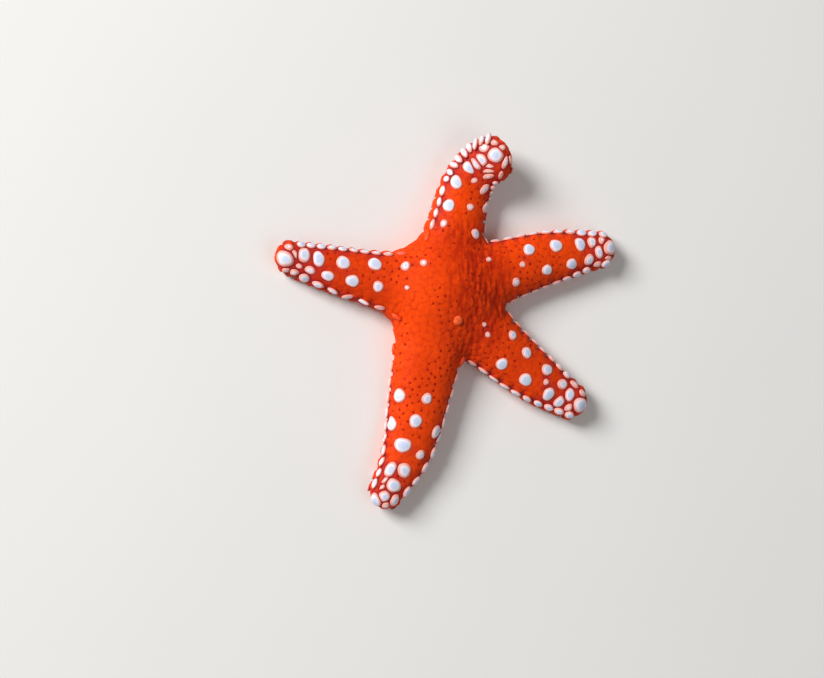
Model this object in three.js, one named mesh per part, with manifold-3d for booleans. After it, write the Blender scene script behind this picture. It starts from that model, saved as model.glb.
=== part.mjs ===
// A red sea star of the genus Fromia, life size, lying on a flat floor: a low central disc, five blunt
// arms with beaded margins and raised round plates, the last stretch of each arm curled up from the floor,
// a sieve plate on the disc and a mouth ring below. Millimetres and degrees, +Z up, floor at z = 0.
import * as THREE from "three";
import { mergeVertices } from "three/addons/utils/BufferGeometryUtils.js";
import Module from "manifold-3d";

const wasm = await Module();
wasm.setup();

// ---- Driving dimensions ---------------------------------------------------------------------------

// Each arm's axis leaves the disc's centre at `heading` (counted from +X), bends sideways by `turn` past the
// share `turnFrom` of its length, and rises by `lift` past `liftFrom`. `root` is where it is parted from the
// disc. `girth` is its half width at the disc, `taper` the share of that lost evenly by the rounded tip, and
// `pinch` the share lost besides past PINCH_FROM.
const ARMS = [
  {
    heading: 75.2, length: 30.9, turn: -52, turnFrom: 0.52,
    lift: 55, liftFrom: 0.52, girth: 5.7, taper: 0.33, pinch: 0, root: 13,
  },
  {
    heading: 169.5, length: 30.8, turn: -5, turnFrom: 0.25,
    lift: 16, liftFrom: 0.74, girth: 6.1, taper: 0.53, pinch: 0.08, root: 10.5,
  },
  {
    heading: 259, length: 40.4, turn: -30, turnFrom: 0.56,
    lift: 22, liftFrom: 0.76, girth: 6.9, taper: 0.49, pinch: 0.13, root: 14,
  },
  {
    heading: 319, length: 35.5, turn: 12, turnFrom: 0.3,
    lift: 16, liftFrom: 0.72, girth: 6.3, taper: 0.42, pinch: 0.11, root: 14.5,
  },
  {
    heading: 378, length: 35.5, turn: -12, turnFrom: 0.3,
    lift: 16, liftFrom: 0.72, girth: 6.3, taper: 0.42, pinch: 0.11, root: 14,
  },
];
const PINCH_FROM = 0.68;
const AXIS_HEIGHT = 2.7; // an arm's axis above the floor, at the disc
const AXIS_DROP = 0.42; // share of that height lost by the tip
const BACK_ARCH = 0.72; // an arm's height above its axis, as a share of its half width
const BELLY_ARCH = 0.58; // and its depth below it
const FULLNESS = 2.3; // 2 is an elliptical section, more is squarer
const DISC_RADIUS = 9.5;
const DISC_ARCH = 0.46; // the disc's height above its middle, as a share of its radius
const WEB = 1.1; // how softly arms and disc run into each other
const TIP_SHARE = 0.9; // an arm's tip starts at this share of its length
const JOIN_GAP = 0.3; // thin cut between two neighbouring pieces

const MARGIN_PLATES = 12; // beads along each edge of an arm
const MARGIN_START = 0.2; // share of the arm's length where they start
const BEAD_HEIGHT = 0.34;
const FURROW_RADIUS = 1.4; // furrow under each arm, from the mouth out
const FURROW_END = 0.88; // share of the arm's length where it has run out
const FURROW_STEPS = 10;
const FURROW_SIDES = 6;
const MOUTH_RADIUS = 2.7;
const MOUTH_DEPTH = 1.9;

const SAMPLES = 64; // steps along an arm's axis
const STEPS_PER_BEAD = 4;
const DISC_COLUMNS = 56;
const DISC_ROWS = 11;
const DISC_SKIRT = 35; // degrees up from straight down where the disc's first row lies
// Directions round an arm's section, from its left side over the back; the sole lies flat from 215 to 325.
const SECTION_ANGLES = [0, 28, 52, 76, 104, 128, 152, 180, 199, 215, 325, 341];

// Large round plates on the back of each arm: share of the length, place across from the left edge (-1)
// to the right edge (1), and diameter.
const PLATE_RISE = 0.34; // height of a plate's crown, as a share of its diameter
const BACK_PLATES = [
  [[0.49, -0.6, 2.3], [0.64, -0.58, 2.4], [0.75, -0.5, 2.4], [0.56, 0.8, 2.2], [0.68, 0.55, 2]],
  [[0.43, 0.52, 2.4], [0.61, 0.35, 2.6], [0.76, 0.35, 2.6], [0.56, -0.3, 2.3], [0.69, -0.38, 2.1]],
  [[0.48, 0.78, 2.6], [0.47, -0.08, 2], [0.58, 0.22, 2.4], [0.7, 0.45, 2.9], [0.8, 0.08, 2.5]],
  [[0.47, 0.5, 2.3], [0.62, 0.42, 2.5], [0.77, 0.38, 2.4], [0.54, -0.4, 2.1], [0.69, -0.42, 2.3]],
  [[0.5, -0.48, 2.3], [0.65, -0.42, 2.5], [0.79, -0.32, 2.3], [0.57, 0.4, 2.1], [0.72, 0.42, 2.2]],
];
const SIEVE_HEADING = 289; // the sieve plate lies between the third and the fourth arm
const SIEVE_PLACE = 5.4;
const SIEVE_RADIUS = 0.95;
const SIEVE_RISE = 0.35;

const SKIN = new THREE.MeshStandardMaterial({ color: 0xe8400a, roughness: 0.55, metalness: 0 });
const PALE = new THREE.MeshStandardMaterial({ color: 0xd9d4e6, roughness: 0.45, metalness: 0 });
const SIEVE = new THREE.MeshStandardMaterial({ color: 0xf08a5a, roughness: 0.6, metalness: 0 });
const MOUTH = new THREE.MeshStandardMaterial({ color: 0xe9b184, roughness: 0.6, metalness: 0 });

// ---- The arms' axes -------------------------------------------------------------------------------

const radians = THREE.MathUtils.degToRad;
const smooth = (t) => THREE.MathUtils.smoothstep(t, 0, 1);
const axisHeight = (share) => AXIS_HEIGHT * (1 - AXIS_DROP * share);

// Half width at a share of the length: an even taper, a pinch before the end, then a round end.
function halfWidth(arm, share) {
  const end = arm.girth * (1 - arm.taper - arm.pinch);
  const intoEnd = Math.max(0, 1 - (arm.length * (1 - share)) / end);
  const lost = arm.taper * share + arm.pinch * smooth((share - PINCH_FROM) / (1 - PINCH_FROM));
  return arm.girth * (1 - lost) * Math.sqrt(Math.max(0, 1 - intoEnd ** 2));
}

// Points on the axis with the local directions: t along the arm, n to its left, b up out of its back. The
// flat sole lies h below the axis, and w is the half width.
function axisOf(arm) {
  const step = arm.length / SAMPLES;
  const path = new THREE.Vector3();
  const stations = [];
  let last = null;
  for (let i = 0; i <= SAMPLES; i++) {
    const share = i / SAMPLES;
    const heading = radians(arm.heading + arm.turn * smooth((share - arm.turnFrom) / (1 - arm.turnFrom)));
    const rise = radians(arm.lift * smooth((share - arm.liftFrom) / (1 - arm.liftFrom)));
    const t = new THREE.Vector3(
      Math.cos(heading) * Math.cos(rise),
      Math.sin(heading) * Math.cos(rise),
      Math.sin(rise),
    );
    const n = new THREE.Vector3(-Math.sin(heading), Math.cos(heading), 0);
    if (last) path.addScaledVector(last.clone().add(t), step / 2);
    last = t;
    const p = path.clone();
    p.z += axisHeight(share);
    stations.push({ s: i * step, p, t, n, b: new THREE.Vector3().crossVectors(t, n) });
  }
  return stations;
}

const axes = ARMS.map(axisOf);

// The station at distance s along an arm, between its two nearest samples.
function stationAt(index, s) {
  const stations = axes[index];
  const place = Math.min(SAMPLES - 1e-6, Math.max(0, (s / ARMS[index].length) * SAMPLES));
  const i = Math.floor(place);
  const f = place - i;
  const mix = (key) => stations[i][key].clone().lerp(stations[i + 1][key], f);
  return {
    s,
    p: mix("p"),
    t: mix("t").normalize(),
    n: mix("n").normalize(),
    b: mix("b").normalize(),
    w: halfWidth(ARMS[index], s / ARMS[index].length),
    h: axisHeight(s / ARMS[index].length),
  };
}

// Where a point lies beside an arm: s along it, d to its left, e above its axis, o before or past its ends.
const offset = new THREE.Vector3();
function besideArm(index, p) {
  const stations = axes[index];
  let best = 0;
  let least = Infinity;
  for (let i = 0; i <= SAMPLES; i++) {
    const far = stations[i].p.distanceToSquared(p);
    if (far < least) {
      least = far;
      best = i;
    }
  }
  const near = stations[best];
  const s = THREE.MathUtils.clamp(near.s + offset.copy(p).sub(near.p).dot(near.t), 0, ARMS[index].length);
  const at = stationAt(index, s);
  offset.copy(p).sub(at.p);
  return { s, d: offset.dot(at.n), e: offset.dot(at.b), o: offset.dot(at.t), w: at.w, h: at.h };
}

// ---- The body as a field: positive inside, zero on its surface -------------------------------------

const norm = (...lengths) => lengths.reduce((sum, v) => sum + Math.abs(v) ** FULLNESS, 0) ** (1 / FULLNESS);

// Beads along both edges, crowding a little towards the tip.
function bead(arm, at) {
  const along = (at.s / arm.length - MARGIN_START) / (1 - MARGIN_START);
  if (along < 0 || at.w <= 0) return 0;
  const wave = Math.cos(Math.PI * MARGIN_PLATES * along ** 1.12) ** 2;
  const edge = smooth((Math.abs(at.d) / at.w - 0.55) / 0.4) * smooth(1.5 - Math.abs(at.e) / (0.5 * at.w));
  return BEAD_HEIGHT * wave * edge;
}

function armField(index, p) {
  const at = besideArm(index, p);
  const arch = at.e > 0 ? BACK_ARCH : BELLY_ARCH;
  return Math.min(at.w + bead(ARMS[index], at) - norm(at.d, at.e / arch, at.o), at.e + at.h);
}

function field(p) {
  const disc = DISC_RADIUS - Math.hypot(p.x, p.y, (p.z - AXIS_HEIGHT) / DISC_ARCH);
  const pull = ARMS.reduce((sum, _, index) => sum + Math.exp(armField(index, p) / WEB), Math.exp(disc / WEB));
  return WEB * Math.log(pull);
}

// From a point inside, the first point of the surface along a direction, laid flat where it meets the floor.
function surfaceFrom(origin, direction) {
  const point = (r) => origin.clone().addScaledVector(direction, r);
  let outer = 0.5;
  while (outer < 40 && field(point(outer)) > 0) outer += 0.5;
  let inner = outer - 0.5;
  for (let i = 0; i < 14; i++) {
    const middle = (inner + outer) / 2;
    if (field(point(middle)) > 0) inner = middle;
    else outer = middle;
  }
  const found = point(outer);
  found.z = Math.max(0, found.z);
  return found;
}

// ---- Meshes ---------------------------------------------------------------------------------------

// A closed skin over rings of points, each end drawn to a point. The rings turn left about the way they run.
function closedRings(start, rings, end) {
  const points = [start, ...rings.flat(), end];
  const count = rings[0].length;
  const index = [];
  for (let k = 0; k < count; k++) {
    const next = (k + 1) % count;
    index.push(0, 1 + next, 1 + k);
    for (let row = 0; row + 1 < rings.length; row++) {
      const a = 1 + row * count;
      const b = a + count;
      index.push(a + k, a + next, b + next, a + k, b + next, b + k);
    }
    const top = 1 + (rings.length - 1) * count;
    index.push(top + k, top + next, points.length - 1);
  }
  const geometry = new THREE.BufferGeometry().setFromPoints(points);
  geometry.setIndex(index);
  return geometry;
}

function solid(geometry) {
  const bare = geometry.clone();
  bare.deleteAttribute("normal");
  bare.deleteAttribute("uv");
  const merged = mergeVertices(bare, 1e-4);
  return new wasm.Manifold(
    new wasm.Mesh({
      numProp: 3,
      vertProperties: new Float32Array(merged.attributes.position.array),
      triVerts: new Uint32Array(merged.index.array),
    }),
  );
}

function geometryOf(manifold) {
  const mesh = manifold.getMesh();
  const geometry = new THREE.BufferGeometry();
  geometry.setAttribute("position", new THREE.BufferAttribute(Float32Array.from(mesh.vertProperties), 3));
  geometry.setIndex(new THREE.BufferAttribute(Uint32Array.from(mesh.triVerts), 1));
  return geometry;
}

// One stretch of an arm, from distance `from` to `to`; the last stretch ends in the rounded tip.
function armStretch(index, from, to) {
  const steps = Math.max(4, Math.round(((to - from) / beadPitch(index)) * STEPS_PER_BEAD));
  const atTip = to >= ARMS[index].length;
  const rings = [];
  for (let i = 0; i <= steps - (atTip ? 1 : 0); i++) {
    // Rings crowd towards the rounded end of a tip.
    const share = atTip ? Math.sin((i / steps) * Math.PI * 0.5) : i / steps;
    const at = stationAt(index, from + (to - from) * share);
    rings.push(
      SECTION_ANGLES.map((degrees) => {
        const angle = radians(degrees);
        const way = at.n.clone().multiplyScalar(Math.cos(angle)).addScaledVector(at.b, Math.sin(angle));
        return surfaceFrom(at.p, way);
      }),
    );
  }
  const first = stationAt(index, from).p;
  const last = stationAt(index, to);
  const end = atTip ? surfaceFrom(stationAt(index, ARMS[index].length * 0.97).p, last.t) : last.p;
  return closedRings(first, rings, end);
}

const beadPitch = (index) => (ARMS[index].length * (1 - MARGIN_START)) / MARGIN_PLATES;

// A low crown standing on the back of an arm, its foot sunk into it.
function crown(foot, normal, diameter, rise, sides) {
  const radius = diameter / 2;
  const profile = [
    new THREE.Vector2(0, -rise),
    new THREE.Vector2(radius, -rise),
    new THREE.Vector2(radius, rise * 0.1),
    new THREE.Vector2(radius * 0.62, rise * 0.72),
    new THREE.Vector2(0, rise),
  ];
  const geometry = new THREE.LatheGeometry(profile, sides);
  const turn = new THREE.Quaternion().setFromUnitVectors(new THREE.Vector3(0, 1, 0), normal);
  geometry.applyQuaternion(turn);
  geometry.translate(foot.x, foot.y, foot.z);
  return geometry;
}

function normalAt(p) {
  const step = 0.05;
  const slope = (x, y, z) => field(p.clone().add(new THREE.Vector3(x, y, z)));
  return new THREE.Vector3(
    slope(-step, 0, 0) - slope(step, 0, 0),
    slope(0, -step, 0) - slope(0, step, 0),
    slope(0, 0, -step) - slope(0, 0, step),
  ).normalize();
}

// The place on an arm's back at a share of its length, across from its left edge (-1) to its right (1).
function onBack(index, share, across) {
  const at = stationAt(index, ARMS[index].length * share);
  const angle = Math.acos(-across);
  const way = at.n.clone().multiplyScalar(Math.cos(angle)).addScaledVector(at.b, Math.sin(angle) * BACK_ARCH);
  return surfaceFrom(at.p, way.normalize());
}

// The furrow under an arm as a round bar laid along its sole, narrowing at the end.
const furrows = ARMS.map((arm, index) => {
  const rings = [];
  for (let i = 0; i <= FURROW_STEPS; i++) {
    const at = stationAt(index, (arm.length * FURROW_END * i) / FURROW_STEPS);
    const middle = at.p.addScaledVector(at.b, -at.h);
    const radius = FURROW_RADIUS * smooth(0.3 + ((FURROW_STEPS - i) / FURROW_STEPS) * 2.5);
    rings.push(
      Array.from({ length: FURROW_SIDES }, (_, side) => {
        const angle = (2 * Math.PI * (side + 0.5)) / FURROW_SIDES;
        return middle
          .clone()
          .addScaledVector(at.n, radius * Math.cos(angle))
          .addScaledVector(at.b, radius * Math.sin(angle));
      }),
    );
  }
  const middleOf = (ring) => ring[0].clone().add(ring[FURROW_SIDES / 2]).multiplyScalar(0.5);
  return solid(closedRings(middleOf(rings[0]), rings, middleOf(rings[FURROW_STEPS])));
});

function armWithPlates(index) {
  const arm = ARMS[index];
  let body = solid(armStretch(index, arm.root + JOIN_GAP / 2, arm.length * TIP_SHARE - JOIN_GAP / 2));
  for (const [share, across, diameter] of BACK_PLATES[index]) {
    const foot = onBack(index, share, across);
    body = body.add(solid(crown(foot, normalAt(foot), diameter, (diameter * PLATE_RISE) / 2, 7)));
  }
  return geometryOf(body.subtract(furrows[index]));
}

const tipOf = (index) => armStretch(index, ARMS[index].length * TIP_SHARE + JOIN_GAP / 2, ARMS[index].length);

// The disc with the arms' roots: seen from its middle every part of it is in plain sight, so rays find it.
function discWithRoots() {
  const middle = new THREE.Vector3(0, 0, AXIS_HEIGHT + 0.9);
  const rings = [];
  for (let row = 1; row < DISC_ROWS; row++) {
    const fall = radians(DISC_SKIRT + (180 - DISC_SKIRT) * ((row - 1) / (DISC_ROWS - 1)));
    rings.push(
      Array.from({ length: DISC_COLUMNS }, (_, column) => {
        const round = (2 * Math.PI * column) / DISC_COLUMNS;
        // Flattened, so that rows are spread evenly over a low body.
        const way = new THREE.Vector3(
          Math.sin(fall) * Math.cos(round),
          Math.sin(fall) * Math.sin(round),
          -Math.cos(fall) * 0.42,
        );
        return surfaceFrom(middle, way.normalize());
      }),
    );
  }
  const below = surfaceFrom(middle, new THREE.Vector3(0, 0, -1));
  const above = surfaceFrom(middle, new THREE.Vector3(0, 0, 1));
  let body = solid(closedRings(below, rings, above));
  ARMS.forEach((arm, index) => {
    const at = stationAt(index, arm.root);
    const reach = 40;
    const block = new THREE.BoxGeometry(reach, 18, 30);
    const basis = new THREE.Matrix4().makeBasis(at.t, at.n, at.b);
    block.applyMatrix4(basis);
    const middleOfBlock = at.p.clone().addScaledVector(at.t, reach / 2 - JOIN_GAP / 2);
    block.translate(middleOfBlock.x, middleOfBlock.y, middleOfBlock.z);
    body = body.subtract(solid(block)).subtract(furrows[index]);
  });
  const hollow = new THREE.SphereGeometry(MOUTH_RADIUS, 20, 10).rotateX(Math.PI / 2);
  return body.subtract(solid(hollow.scale(1, 1, MOUTH_DEPTH / MOUTH_RADIUS)));
}

const sieveFoot = surfaceFrom(
  new THREE.Vector3(
    SIEVE_PLACE * Math.cos(radians(SIEVE_HEADING)),
    SIEVE_PLACE * Math.sin(radians(SIEVE_HEADING)),
    AXIS_HEIGHT,
  ),
  new THREE.Vector3(0, 0, 1),
);
const sieveNormal = normalAt(sieveFoot);

// The sieve plate sits in a shallow seat in the disc.
function sieve() {
  return crown(sieveFoot, sieveNormal, 2 * SIEVE_RADIUS, SIEVE_RISE, 16);
}

function discWithSeat() {
  const seat = crown(sieveFoot, sieveNormal, 2 * (SIEVE_RADIUS + JOIN_GAP), SIEVE_RISE + JOIN_GAP, 16);
  return geometryOf(discWithRoots().subtract(solid(seat)));
}

// A ring with five jaws, set up inside the mouth and clear of the floor.
function mouthRing() {
  const jaws = 5;
  const points = 40;
  const outer = MOUTH_RADIUS * 0.62;
  const outline = new THREE.Shape();
  const hole = new THREE.Path();
  for (let i = 0; i < points; i++) {
    const round = (2 * Math.PI * i) / points;
    const inner = outer * (0.5 + 0.16 * Math.cos(jaws * round));
    outline[i ? "lineTo" : "moveTo"](outer * Math.cos(round), outer * Math.sin(round));
    hole[i ? "lineTo" : "moveTo"](inner * Math.cos(round), inner * Math.sin(round));
  }
  outline.closePath();
  hole.closePath();
  outline.holes.push(hole);
  const ring = new THREE.ExtrudeGeometry(outline, { depth: MOUTH_DEPTH * 0.35, bevelEnabled: false });
  ring.translate(0, 0, MOUTH_DEPTH * 0.25);
  return ring;
}

// ---- The model ------------------------------------------------------------------------------------

const model = new THREE.Group();
function addPiece(name, geometry, material) {
  const mesh = new THREE.Mesh(geometry, material);
  mesh.name = name;
  model.add(mesh);
}

addPiece("central_disc", discWithSeat(), SKIN);
ARMS.forEach((_, index) => {
  addPiece(`arm_${index + 1}`, armWithPlates(index), SKIN);
  addPiece(`arm_tip_${index + 1}`, tipOf(index), PALE);
});
addPiece("sieve_plate", sieve(), SIEVE);
addPiece("mouth_ring", mouthRing(), MOUTH);

// The frame's origin is under the middle of the animal's box.
const box = new THREE.Box3().setFromObject(model);
model.position.set(-(box.min.x + box.max.x) / 2, -(box.min.y + box.max.y) / 2, -box.min.z);

export default model;
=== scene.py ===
import math
from collections import namedtuple

import bpy
import numpy as np
from mathutils import Matrix, Vector, kdtree
from mathutils.noise import noise as noise_at


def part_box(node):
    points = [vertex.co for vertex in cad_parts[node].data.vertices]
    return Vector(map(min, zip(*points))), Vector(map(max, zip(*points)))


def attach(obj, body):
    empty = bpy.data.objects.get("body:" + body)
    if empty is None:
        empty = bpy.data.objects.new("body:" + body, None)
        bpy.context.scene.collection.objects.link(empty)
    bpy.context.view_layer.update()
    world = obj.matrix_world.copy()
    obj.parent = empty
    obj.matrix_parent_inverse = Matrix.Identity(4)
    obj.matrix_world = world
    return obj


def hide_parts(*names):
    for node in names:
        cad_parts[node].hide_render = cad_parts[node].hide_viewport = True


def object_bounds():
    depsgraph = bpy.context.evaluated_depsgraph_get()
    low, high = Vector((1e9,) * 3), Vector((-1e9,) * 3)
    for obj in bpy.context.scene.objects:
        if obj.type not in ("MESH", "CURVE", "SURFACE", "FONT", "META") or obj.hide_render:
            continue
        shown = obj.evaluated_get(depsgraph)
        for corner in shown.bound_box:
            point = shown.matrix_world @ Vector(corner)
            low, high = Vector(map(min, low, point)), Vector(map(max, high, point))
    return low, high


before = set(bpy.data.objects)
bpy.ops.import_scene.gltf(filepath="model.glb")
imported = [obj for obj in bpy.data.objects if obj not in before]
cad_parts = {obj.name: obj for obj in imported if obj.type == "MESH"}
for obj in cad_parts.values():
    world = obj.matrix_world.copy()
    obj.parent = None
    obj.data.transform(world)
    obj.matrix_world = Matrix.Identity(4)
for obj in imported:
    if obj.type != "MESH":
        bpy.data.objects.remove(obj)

bl_info = {
    "name": "Sea Star",
    "version": (1, 0, 0),
    "blender": (4, 5, 0),
    "location": "View3D > Sidebar > Sea Star",
    "description": "Dresses the solid parts of a reef sea star in skin, plates, gills, spines and tube feet",
    "category": "Object",
}

CAD_BOX = [list(corner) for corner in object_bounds()]
MM = 0.001

# ---- The body's form, in millimetres round the disc's centre, with the floor at zero ----------------

# heading, turn and lift in degrees; girth is the half width at the disc, taper the share of it lost evenly
# by the tip, and pinch the share lost besides past PINCH_FROM
Arm = namedtuple("Arm", "heading length turn turn_from lift lift_from girth taper pinch")
ARMS = (
    Arm(75.2, 30.9, -52, 0.52, 55, 0.52, 5.7, 0.33, 0),
    Arm(169.5, 30.8, -5, 0.25, 16, 0.74, 6.1, 0.53, 0.08),
    Arm(259, 40.4, -30, 0.56, 22, 0.76, 6.9, 0.49, 0.13),
    Arm(319, 35.5, 12, 0.3, 16, 0.72, 6.3, 0.42, 0.11),
    Arm(378, 35.5, -12, 0.3, 16, 0.72, 6.3, 0.42, 0.11),
)
PINCH_FROM = 0.68
# height of the arms' axes at the disc, and the share of it that they lose by the tip
AXIS_HEIGHT = 2.7
AXIS_DROP = 0.42
# height of an arm's back and belly as shares of its half width, and how square its section is
BACK_ARCH = 0.72
BELLY_ARCH = 0.58
FULLNESS = 2.3
DISC_RADIUS = 9.5
DISC_ARCH = 0.46
# how widely the arms and the disc flow together
WEB = 1.1
# beads along an arm's edge, where they start as a share of its length, and how they crowd towards its tip
MARGIN_PLATES = 12
MARGIN_START = 0.2
MARGIN_CROWDING = 1.12
BEAD_HEIGHT = 0.34
FURROW_RADIUS = 1.4
FURROW_END = 0.88
MOUTH_RADIUS = 2.7
MOUTH_DEPTH = 1.9
# how rounded the edges of the sole, the furrows and the mouth are
EDGE_SOFTNESS = 0.12
# steps along an arm's axis, and how many points are measured at once
SAMPLES = 64
BLOCK = 100_000

DISC_CENTRE = np.mean(np.array(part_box("mouth_ring")), axis=0) / MM * (1, 1, 0)
Station = namedtuple("Station", "p t n b w h")


def smooth(t):
    t = np.clip(t, 0, 1)
    return t * t * (3 - 2 * t)


def unit(rows):
    return rows / np.linalg.norm(rows, axis=1, keepdims=True)


def dots(a, b):
    return np.einsum("ij,ij->i", a, b)


class Axis:
    """An arm's middle line: places p and directions t along it, n to its left and b up out of its back."""

    def __init__(self, arm):
        share = np.linspace(0, 1, SAMPLES + 1)
        heading = np.radians(arm.heading + arm.turn * smooth((share - arm.turn_from) / (1 - arm.turn_from)))
        rise = np.radians(arm.lift * smooth((share - arm.lift_from) / (1 - arm.lift_from)))
        flat = np.cos(rise)
        self.arm = arm
        self.t = np.stack([np.cos(heading) * flat, np.sin(heading) * flat, np.sin(rise)], 1)
        self.n = np.stack([-np.sin(heading), np.cos(heading), 0 * heading], 1)
        self.b = np.cross(self.t, self.n)
        steps = (self.t[1:] + self.t[:-1]) / 2 * arm.length / SAMPLES
        self.p = np.vstack([np.zeros(3), np.cumsum(steps, axis=0)])
        self.p[:, 2] += AXIS_HEIGHT * (1 - AXIS_DROP * share)
        self.end = arm.girth * (1 - arm.taper - arm.pinch)

    def at(self, s):
        """The station at each distance s, with half width w and the sole's depth h below the axis."""
        share = np.clip(np.asarray(s, float) / self.arm.length, 0, 1)
        low = np.minimum((share * SAMPLES).astype(int), SAMPLES - 1)
        part = (share * SAMPLES - low)[:, None]
        lines = (self.p, self.t, self.n, self.b)
        p, t, n, b = (rows[low] * (1 - part) + rows[low + 1] * part for rows in lines)
        into_end = np.maximum(0, 1 - self.arm.length * (1 - share) / self.end)
        lost = self.arm.taper * share + self.arm.pinch * smooth((share - PINCH_FROM) / (1 - PINCH_FROM))
        w = self.arm.girth * (1 - lost) * np.sqrt(np.maximum(0, 1 - into_end**2))
        return Station(p, unit(t), unit(n), unit(b), w, AXIS_HEIGHT * (1 - AXIS_DROP * share))

    def beside(self, points):
        """Each point's distance s along the arm, its station, and its offset in that station's directions."""
        near = np.argmin((self.p**2).sum(1) - 2 * points @ self.p.T, axis=1)
        s = near * self.arm.length / SAMPLES + dots(points - self.p[near], self.t[near])
        s = np.clip(s, 0, self.arm.length)
        at = self.at(s)
        off = points - at.p
        return s, at, dots(off, at.n), dots(off, at.b), dots(off, at.t)


AXES = [Axis(arm) for arm in ARMS]


def furrow_share(axis, s):
    """How wide the furrow still is at s, as a share of its full width."""
    return smooth(0.3 + (1 - s / (axis.arm.length * FURROW_END)) * 2.5)


def arm_fields(axis, points):
    """How deep points lie inside an arm's flesh, and how far they lie outside its furrow."""
    s, at, d, e, o = axis.beside(points)
    along = np.clip((s / axis.arm.length - MARGIN_START) / (1 - MARGIN_START), 0, 1)
    wave = np.cos(math.pi * MARGIN_PLATES * along**MARGIN_CROWDING) ** 2 * (along > 0)
    w = np.maximum(at.w, 1e-6)
    # beads stand out on the sides only, near the height of the axis
    edge = smooth((np.abs(d) / w - 0.55) / 0.4) * smooth(1.5 - np.abs(e) / (0.5 * w))
    arch = np.where(e > 0, BACK_ARCH, BELLY_ARCH)
    reach = (np.abs(d) ** FULLNESS + np.abs(e / arch) ** FULLNESS + np.abs(o) ** FULLNESS) ** (1 / FULLNESS)
    flesh = np.minimum(at.w + BEAD_HEIGHT * wave * edge - reach, e + at.h)
    return flesh, np.sqrt(d**2 + (e + at.h) ** 2 + o**2) - FURROW_RADIUS * furrow_share(axis, s)


def body(points):
    """Positive inside the body and zero on its surface, with furrows, mouth and sole cut from it."""
    depth = np.empty(len(points))
    for start in range(0, len(points), BLOCK):
        p = points[start : start + BLOCK]
        fields = [arm_fields(axis, p) for axis in AXES]
        flat = p[:, 0] ** 2 + p[:, 1] ** 2
        disc = DISC_RADIUS - np.sqrt(flat + ((p[:, 2] - AXIS_HEIGHT) / DISC_ARCH) ** 2)
        flesh = WEB * np.log(np.exp(disc / WEB) + sum(np.exp(field[0] / WEB) for field in fields))
        mouth = np.sqrt(flat + (p[:, 2] * MOUTH_RADIUS / MOUTH_DEPTH) ** 2) - MOUTH_RADIUS
        walls = [flesh, p[:, 2], mouth] + [field[1] for field in fields]
        cut = sum(np.exp(-np.clip(wall / EDGE_SOFTNESS, -60, 60)) for wall in walls)
        depth[start : start + BLOCK] = -EDGE_SOFTNESS * np.log(cut)
    return depth


def slope(points, step=0.02):
    """The field's gradient, which points into the body."""
    sides = [body(points + offset) - body(points - offset) for offset in np.eye(3) * step]
    return np.stack(sides, 1) / (2 * step)


def settle(points, rounds):
    """Points moved onto the surface, and the outward normals there."""
    for _ in range(rounds):
        gradient = slope(points)
        steep = np.maximum(dots(gradient, gradient), 0.05)
        points = points - np.clip(body(points) / steep, -0.3, 0.3)[:, None] * gradient
    return points, -unit(slope(points))


def exits(origins, ways, reach):
    """Where rays from inside leave the body, looking no farther than reach."""
    near = np.zeros(len(origins))
    far = np.zeros(len(origins)) + reach
    for _ in range(24):
        middle = (near + far) / 2
        inside = body(origins + middle[:, None] * ways) > 0
        near = np.where(inside, middle, near)
        far = np.where(inside, far, middle)
    return origins + far[:, None] * ways


def surface_from(origins, ways, reach=14.0):
    """Where rays from inside meet the surface, and the outward normals there."""
    return settle(exits(origins, ways, reach), 1)


def on_back(axis, share, across):
    """Places and normals on an arm's back: across is -1 at its left edge and 1 at its right."""
    s = np.asarray(share, float) * axis.arm.length
    across = np.asarray(across, float)
    cap = axis.arm.length - axis.end
    forward = np.clip((s - cap) / axis.end, 0, 0.999)[:, None]
    at = axis.at(np.minimum(s, cap))
    up = np.sqrt(1 - across**2)[:, None] * BACK_ARCH
    ways = at.t * forward + np.sqrt(1 - forward**2) * (at.b * up - at.n * across[:, None])
    return surface_from(at.p, unit(ways))


def on_side(axis, share, side, lift):
    """Places, normals and along directions on an arm's side, at angles above (or below) its axis."""
    at = axis.at(np.asarray(share, float) * axis.arm.length)
    angle = np.radians(lift)[:, None]
    places, normals = surface_from(at.p, at.n * side * np.cos(angle) + at.b * np.sin(angle), at.w + 0.8)
    return places, normals, at.t


# ---- Meshes ------------------------------------------------------------------------------------------


def joined(parts):
    """Columns of arrays, each joined over all parts."""
    return [np.concatenate(column) for column in zip(*parts)]


def circle(sides):
    """Angles round a circle and the level directions at them."""
    around = np.linspace(0, 2 * math.pi, sides, endpoint=False)
    return around, np.stack([np.cos(around), np.sin(around), 0 * around], 1)


def to_frame(points):
    return (points + DISC_CENTRE) * MM


def mesh_object(name, points, faces=(), attributes=()):
    """A smooth-shaded object with named numbers or vectors on its points, in metres."""
    mesh = bpy.data.meshes.new(name)
    mesh.from_pydata(np.asarray(points).tolist(), [], [tuple(map(int, face)) for face in faces])
    for key, values in dict(attributes).items():
        values = np.asarray(values, np.float32)
        kind, field = ("FLOAT", "value") if values.ndim == 1 else ("FLOAT_VECTOR", "vector")
        mesh.attributes.new(key, kind, "POINT").data.foreach_set(field, values.ravel())
    mesh.shade_smooth()
    made = bpy.data.objects.new(name, mesh)
    bpy.context.collection.objects.link(made)
    return made


def stacked_faces(first, rings, sides):
    """Faces of a closed shape numbered from first: a pole, rings of points from top to foot, a pole."""
    last = first + 1 + rings * sides
    faces = []
    for k in range(sides):
        m = (k + 1) % sides
        faces.append((first, first + 1 + k, first + 1 + m))
        for low in range(first + 1, last - sides, sides):
            faces.append((low + k, low + sides + k, low + sides + m, low + m))
        faces.append((last - sides + k, last, last - sides + m))
    return faces


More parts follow.
